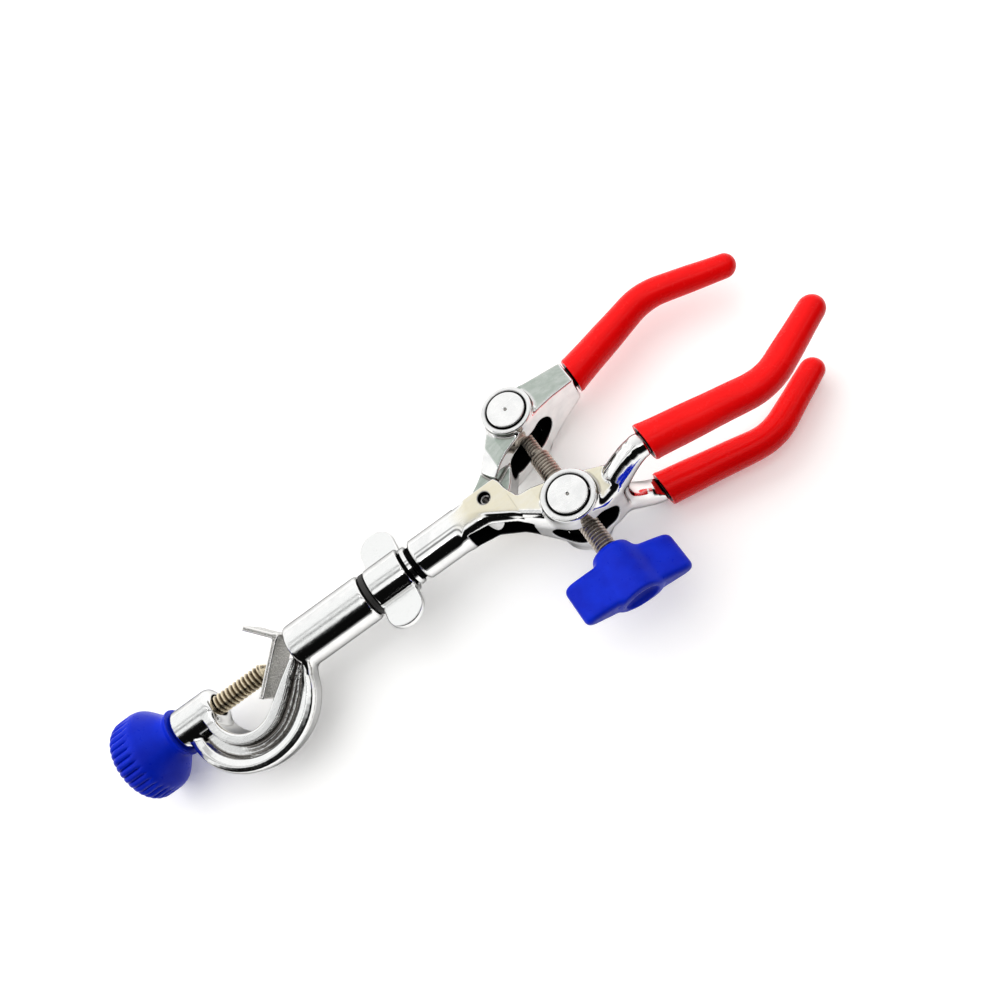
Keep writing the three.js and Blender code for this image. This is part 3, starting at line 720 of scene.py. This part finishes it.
def fixed_jaw():
    bx, by = TRUNNION_AT[0], -TRUNNION_AT[1]
    plan = soften([(-12, 3.6), (4.8, 3.6), *arc((0, 0), CHEEK["nose"], 32, -6, 3), (8, -5.6), (20.5, -9.4),
                   (27.5, -12.4), (31.4, -14.2), (31.4, -21.9), (26, -23.3), (16, -23), (10.6, -18.4),
                   (3.4, -10.6), (-3, -6.6), (-12, -5.6)], 0.8)
    side_x, side_h = [-12, -5, 6, 12, 31], [6.0, CHEEK["outer"], CHEEK["outer"], 9.4, 9.4]

    def shape(x, y, z):
        out = length(y, z)
        barrel = both(out - BARREL["r"], between(x, BARREL["left"], 3.0), 1.4)
        barrel = both(barrel, out - (BARREL["r"] - 1.3 + (x - BARREL["left"]) * 1.1), 0.4)
        # The outside edge carries the barrel's round on along the arm, and the inside edge is nearly sharp.
        edge = ((y + 0.5) * TRUNNION_AT[0] + (x + 2) * TRUNNION_AT[1]) / -25.0
        round_edge = 0.8 + 4.6 * np.clip(edge / 4 + 0.2, 0, 1) * np.clip((17 - x) / 6, 0, 1)
        round_edge = round_edge + 2.6 * np.clip((-18.5 - y) / 2.5, 0, 1) * np.clip((x - 22) / 3, 0, 1)
        arm = both(outline(plan, x, y), abs(z) - np.interp(x, side_x, side_h), round_edge)
        body = union(barrel, arm, 1.2)
        boss = cylinder(length(x - bx, y - by) - RING_B, z, -BOSS_HALF, BOSS_HALF, 0.7)
        body = union(body, boss, 1.0)
        # Between the prongs a web ends in a round crotch.
        web = both(abs(y + 18.2) - 3.1, abs(z) - np.interp(x, [28, 33, 37, 41], [6, 10.5, 13.8, 14.6]), 0.8)
        web = both(both(web, x - 33.4 - 0.045 * z * z, 1.6), 27 - x, 0.5)
        body = union(body, union(prong(x, y, z), web, 1.0), 0.7)
        stub = finger_stub(x, y, abs(z) - FINGER_W, FINGER_B, 4)
        return cut(union(body, stub, 0.2), holes(x, y, z), 0.5)

    def holes(x, y, z):
        sweep = both(between(x, -9.5, 7.2), between(y, -14, 30), 0.5)
        sweep = union(sweep, both(between(x, 6, 14), between(y, -3.5, 30), 0.5), 0.3)
        tongue_slot = both(sweep, abs(z) - CHEEK["inner"], 0.4)
        shaft = both(length(y, z) - SHAFT["thread"] - GAP, x - SHAFT["right"] - GAP, 0.3)
        pin = length(x, y) - PIN_R - GAP / 2
        made = [rod_slot(x, y, z, -1), tongue_slot, shaft, pin, trunnion_bore(x, y, z, -1)]
        return np.minimum.reduce(np.broadcast_arrays(*made))

    # Painted shade: near black on the walls of the holes and on the fingers' cores inside their sleeves.
    def dark(x, y, z):
        stub = np.where(x > FINGER_B[0][0] - 0.35, 0, 9)
        return np.minimum(abs(holes(x, y, z)), stub)

    return sculpt("fixed_jaw_casting", shape, (-27.2, -25.2, -20.4), (50, 8, 20.4), 0.32, dark)


def pivot_pin():
    half = CHEEK["outer"] - 1.5

    def shape(x, y, z):
        wall = abs(length(x, y) - PIN_R + 0.3) - 0.3
        wall = cut(wall, both(abs(y) - 0.3, -x, 0.1), 0.1)
        return both(wall, abs(z) - half, 0.2)

    return sculpt("pivot_pin_rolled", shape, (-2, -2, -7.2), (2, 2, 7.2), 0.1)


def cross_pin():
    low, high = -6.1, -SHAFT["thread"] - GAP
    profile = [(low, 0.02), (low, 0.8), (low + 0.2, 1), (high, 1), (high, 0.02)]
    return turned("cross_pin_turned", profile, 32, "z")


def trunnion(side, name):
    at = (TRUNNION_AT[0], TRUNNION_AT[1] * side)
    bore = (ROD["thin"] if side > 0 else ROD["thick"]) + GAP

    half = TRUNNION["half"]

    def shape(x, y, z):
        body = cylinder(length(x - at[0], y - at[1]) - TRUNNION["r"], z, -half, half, 0.5)
        dimple = length(x - at[0], y - at[1], abs(z) - half - 0.25) - 0.62
        return cut(cut(body, dimple, 0.15), length(x - at[0], z) - bore, 0.4)

    def dark(x, y, z):
        """Zero but for the two end faces, which are all that shows outside the casting. Where it is zero the
        disc is painted near black, as painted shade.
        """
        return np.clip(abs(z) - half + 0.9, 0, 0.4)

    low = (at[0] - 6, at[1] - 6, -12.5)
    high = (at[0] + 6, at[1] + 6, 12.5)
    return sculpt(name, shape, low, high, 0.2, dark)


def adjusting_rod():
    low, step, high = ROD["knob_end"], ROD["step"], ROD["end"]
    thick, thin = ROD["thick"], ROD["thin"]
    shape = [(low, thick), (step - 0.5, thick), (step, thin), (high - 0.5, thin), (high, thin - 0.5)]
    threads = [(-33.5, step - 0.4), (step + 0.6, high - 0.2)]
    return threaded("adjusting_rod_thread", shape, threads, ROD["pitch"], 0.42, "y")


def butterfly_knob():
    w, root, tip, bottom = WING["half"] - SKIN, WING["root"], WING["tip"], WING["bottom"] + SKIN
    quarter = [(0, root + 1), (6, root), (w - 1.6, tip + 0.25)]
    right = [*quarter, (w, tip * 0.45), (w, -tip * 0.45), *[(u, -v) for u, v in quarter[::-1]]]
    wings = soften([*right[:-1], *[(-u, -v) for u, v in right[:-1]]], 1.4)
    turn = math.radians(WING["turn"])

    def shape(x, y, z):
        u, v = x * math.cos(turn) - z * math.sin(turn), x * math.sin(turn) + z * math.cos(turn)
        out = length(x, z)
        top = WING["top"]
        hub = both(out - WING["hub"], between(y, bottom, top), 2.6)
        hub = union(hub, cylinder(out - WING["hub"], y, bottom, bottom + 4, 0.8), 0.3)
        crown = WING["wing_top"] + 0.5 - 0.9 * np.clip(abs(u) / w, 0, 1) ** 2
        blade = both(outline(wings, u, v), between(y, bottom, crown), 1.9)
        body = union(hub, blade, 1.8)
        dish = length(x, z * 1.3, (y - bottom) * 3) - 4.8
        body = cut(body, dish, 0.7)
        bore = both(out - ROD["thick"] - GAP, ROD["knob_end"] - GAP - y, 0.2)
        return cut(body, bore, 0.4)

    return sculpt("butterfly_knob_moulded", shape, (-16.8, -47.2, -9.5), (16.8, -30.4, 9.5), 0.3)


# ---- fingers ----
def finger_path(line, steps):
    """Evenly spaced points and directions along a softly bent finger, each one's share of the way, and the
    finger's length."""
    a, b, c = (np.array(p, float) for p in line)
    before = b + (a - b) * FINGER_BEND / np.linalg.norm(a - b)
    after = b + (c - b) * FINGER_BEND / np.linalg.norm(c - b)
    t = np.linspace(0, 1, 40)[:, None]
    bend = before * (1 - t) ** 2 + b * 2 * t * (1 - t) + after * t * t
    path = np.concatenate([a[None], bend, c[None]])
    run = np.concatenate([[0], np.cumsum(np.linalg.norm(np.diff(path, axis=0), axis=1))])
    at = np.linspace(0, run[-1], steps)
    points = np.stack([np.interp(at, run, path[:, i]) for i in (0, 1)], axis=1)
    slopes = np.gradient(points, axis=0)
    return points, slopes / np.linalg.norm(slopes, axis=1)[:, None], at / run[-1], run[-1]


def finger_sleeve(name, line, z, seed):
    sides, bend_share = 56, 0.59
    points, slopes, share, run = finger_path(line, 90)
    a = np.linspace(0, 2 * np.pi, sides, endpoint=False)

    def ring(point, slope, radius):
        # Near the root the rings lean until they are square to the clamp, as the sleeve's cut end is.
        lean = slope[1] / slope[0] * max(0, 1 - np.linalg.norm(point - points[0]) / 9)
        side = np.array([-slope[1], slope[0]]) + slope * lean
        c, s = radius * np.cos(a), radius * np.sin(a)
        return np.stack((point[0] + side[0] * c, point[1] + side[1] * c, z + s), axis=1)

    outer = []
    for p, d, t in zip(points, slopes, share):
        r = np.interp(t, [0, bend_share, 1], FINGER_R)
        lip = 0.1 * math.exp(-(((t * run - 0.6) / 0.8) ** 2))
        ripple = 0.035 * np.sin(3 * a + seed + 9 * t) + 0.03 * np.sin(2 * a + 23 * t + seed)
        outer.append(ring(p, d, r - 0.17 + lip + ripple * min(1, t * run / 4)))
    tip, heading, r = points[-1], slopes[-1], FINGER_R[2]
    for turn in np.linspace(0, math.pi / 2, 9)[1:]:
        centre = tip + heading * (r - 0.2) * math.sin(turn)
        outer.append(ring(centre, heading, (r - 0.17) * math.cos(turn) + 0.01))
    root, core = FINGER_R[0], CORE_R[0]
    mouth = [(0.0, root - 0.25), (0.0, root - 0.8), (0.15, core + 1.1), (0.5, core + 0.4)]
    back = [ring(points[0] + slopes[0] * v, slopes[0], r) for v, r in mouth]
    inner = [ring(points[0] + slopes[0] * v, slopes[0], core + 0.3) for v in (0.8, 6.0)]
    plug = [ring(points[0] + slopes[0] * 6.0, slopes[0], 0.02)]
    rings = plug + inner[::-1] + back[::-1] + outer[1:]
    # The inside of the mouth is marked to be painted near black, as painted shade.
    deep = len(plug + inner) + 2
    hollow = np.repeat(np.arange(len(rings)) < deep, sides).astype(float)
    return mesh_of(name, *skin(rings), 50, hollow=hollow)


# ---- the pieces ----
CROSS_PIN_AXIS = JAWS @ Matrix.Translation((-18 * MM, 0, 0))
ROD_AXIS = JAWS @ Matrix.Translation((TRUNNION_AT[0] * MM, 0, 0))
add(boss_casting(), CHROME, HEAD, "boss_head", "boss_casting")
add(vee_plate(), VEE_STEEL, HEAD, "boss_head", "vee_plate")
add(boss_screw(), BRASSY, HEAD, "screw_slider", "boss_screw")
add(boss_knob(), BLUE, HEAD, "round_knob", "boss_knob")
add(arm_shaft(), CHROME, JAWS, "clamp_arm", "arm_shaft")
add(swivel_washer(), BLACK, JAWS, "clamp_arm", "swivel_washer")
add(lock_ring(), CHROME, JAWS, "lock_nut", "lock_ring")
add(fixed_jaw(), CHROME_WARM, JAWS, "clamp_arm", "fixed_jaw")
add(single_jaw(), CHROME_GREY, JAWS, "moving_jaw", "single_jaw")
add(pivot_pin(), STEEL, JAWS, "clamp_arm", "pivot_pin")
add(cross_pin(), STEEL, CROSS_PIN_AXIS, "clamp_arm", "cross_pin")
add(trunnion(1, "trunnion_single_disc"), DISC, JAWS, "moving_trunnion", "trunnion_single")
add(trunnion(-1, "trunnion_fixed_disc"), DISC, JAWS, "fixed_trunnion", "trunnion_fixed")
add(adjusting_rod(), NICKEL, ROD_AXIS, "rod_slider", "adjusting_rod")
add(butterfly_knob(), BLUE, ROD_AXIS, "wing_knob", "butterfly_knob")
for which, line, z, seed, body in (("single", FINGER_A, 0, 0.4, "moving_jaw"),
                                   ("upper", FINGER_B, FINGER_W, 2.1, "clamp_arm"),
                                   ("lower", FINGER_B, -FINGER_W, 4.3, "clamp_arm")):
    sleeve = finger_sleeve(f"sleeve_{which}_vinyl", line, z, seed)
    add(sleeve, RED, JAWS, body, f"finger_sleeve_{which}")
for hidden in ("thrust_washer", "snap_ring"):
    frame["nodes"][hidden].data.materials.clear()
    frame["nodes"][hidden].data.materials.append(STEEL)


# ---- floor, light and camera ----
def floor():
    """A wide pale sheet with a faint grain, which glows a little: painted light that makes its shadows lighter."""
    p = Paint("floor_paper", Roughness=0.85, Emission_Color=(1, 0.995, 0.98, 1), Emission_Strength=0.2)
    p.colour(p.mix(p.noise(9, 3), (0.9, 0.895, 0.885, 1), (0.94, 0.935, 0.925, 1)))
    p.bump((p.noise(700, 3), 0.02))
    half, cells, drop = 4 / MM, 8, 0.0002
    line = np.linspace(-half, half, cells + 1)
    points = [(x, y, 0) for y in line for x in line]
    corners = [i + j * (cells + 1) for j in range(cells) for i in range(cells)]
    faces = [(c, c + 1, c + cells + 2, c + cells + 1) for c in corners]
    sheet = bpy.data.objects.new("floor", mesh_of("floor", points, faces))
    bpy.context.scene.collection.objects.link(sheet)
    sheet.location.z = -drop
    sheet.data.materials.append(p.material)


def lamp(name, at, size, power, glossy):
    """An area lamp that looks at the clamp. One that isn't glossy has no reflection in the metal."""
    light = bpy.data.lights.new(name, "AREA")
    light.shape = "RECTANGLE"
    light.size, light.size_y = size
    light.energy = power
    made = bpy.data.objects.new(name, light)
    bpy.context.scene.collection.objects.link(made)
    made.location = at
    made.rotation_euler = (-made.location).to_track_quat("-Z", "Y").to_euler()
    made.visible_glossy = glossy


def studio_light():
    """A light tent that is open, and so dark, on the near side, with a large soft lamp and a narrow one."""
    world = bpy.data.worlds.new("tent")
    bpy.context.scene.world = world
    world.use_nodes = True
    tree = world.node_tree
    back = tree.nodes["Background"]
    coords = tree.nodes.new("ShaderNodeTexCoord")
    split = tree.nodes.new("ShaderNodeSeparateXYZ")
    tree.links.new(coords.outputs["Generated"], split.inputs[0])
    near = tree.nodes.new("ShaderNodeMath")
    near.operation = "MULTIPLY"
    near.inputs[1].default_value = -1
    tree.links.new(split.outputs["Y"], near.inputs[0])
    tilt = tree.nodes.new("ShaderNodeMath")
    tilt.operation = "ARCTAN2"
    tree.links.new(near.outputs[0], tilt.inputs[0])
    tree.links.new(split.outputs["Z"], tilt.inputs[1])
    share = tree.nodes.new("ShaderNodeMapRange")
    for key, value in (("From Min", -math.pi), ("From Max", math.pi)):
        share.inputs[key].default_value = value
    tree.links.new(tilt.outputs[0], share.inputs["Value"])
    ramp = tree.nodes.new("ShaderNodeValToRGB")
    tree.links.new(share.outputs["Result"], ramp.inputs[0])
    tree.links.new(ramp.outputs["Color"], back.inputs["Color"])
    # Tilt from straight up towards the near side, in degrees, and how bright the tent is there.
    stops = [(-180, 0.85), (-112, 0.85), (-98, 0.97), (-28, 0.97), (-25, 0.45), (-20, 0.45), (-17, 0.95),
             (-9, 0.95), (-6, 0.25), (1, 0.25), (5, 0.97), (20, 0.95), (26, 0.003), (80, 0.003), (92, 0.6),
             (115, 0.85), (180, 0.85)]
    points = ramp.color_ramp.elements
    for i, (degrees, light) in enumerate(stops):
        place = (degrees + 180) / 360
        stop = points[i] if i < 2 else points.new(place)
        stop.position = place
        stop.color = (light, light, light, 1)
    back.inputs["Strength"].default_value = 1.12
    lamp("softbox", (-0.4, 0.7, 1.4), (2.0, 1.8), 20, False)
    lamp("strip", (0.1, -0.12, 1.0), (0.9, 0.012), 0.35, True)


def camera():
    """The photo's viewing angle: from above, a little to the near side."""
    back = Vector((0.0269, -0.3050, 0.9520)).normalized()
    right = Vector((0.5801, 0.7803, 0.2336)).cross(back).normalized()
    lens = bpy.data.cameras.new("camera")
    lens.sensor_width = 36
    lens.lens = 31.3
    eye = bpy.data.objects.new("camera", lens)
    bpy.context.scene.collection.objects.link(eye)
    place = Matrix((right, back.cross(right), back)).transposed().to_4x4()
    place.translation = pivot + Vector((9.55, -74.03, 232.65)) * MM
    eye.matrix_world = place
    bpy.context.scene.camera = eye


floor()
studio_light()
camera()
bpy.context.scene.view_settings.view_transform = "Standard"
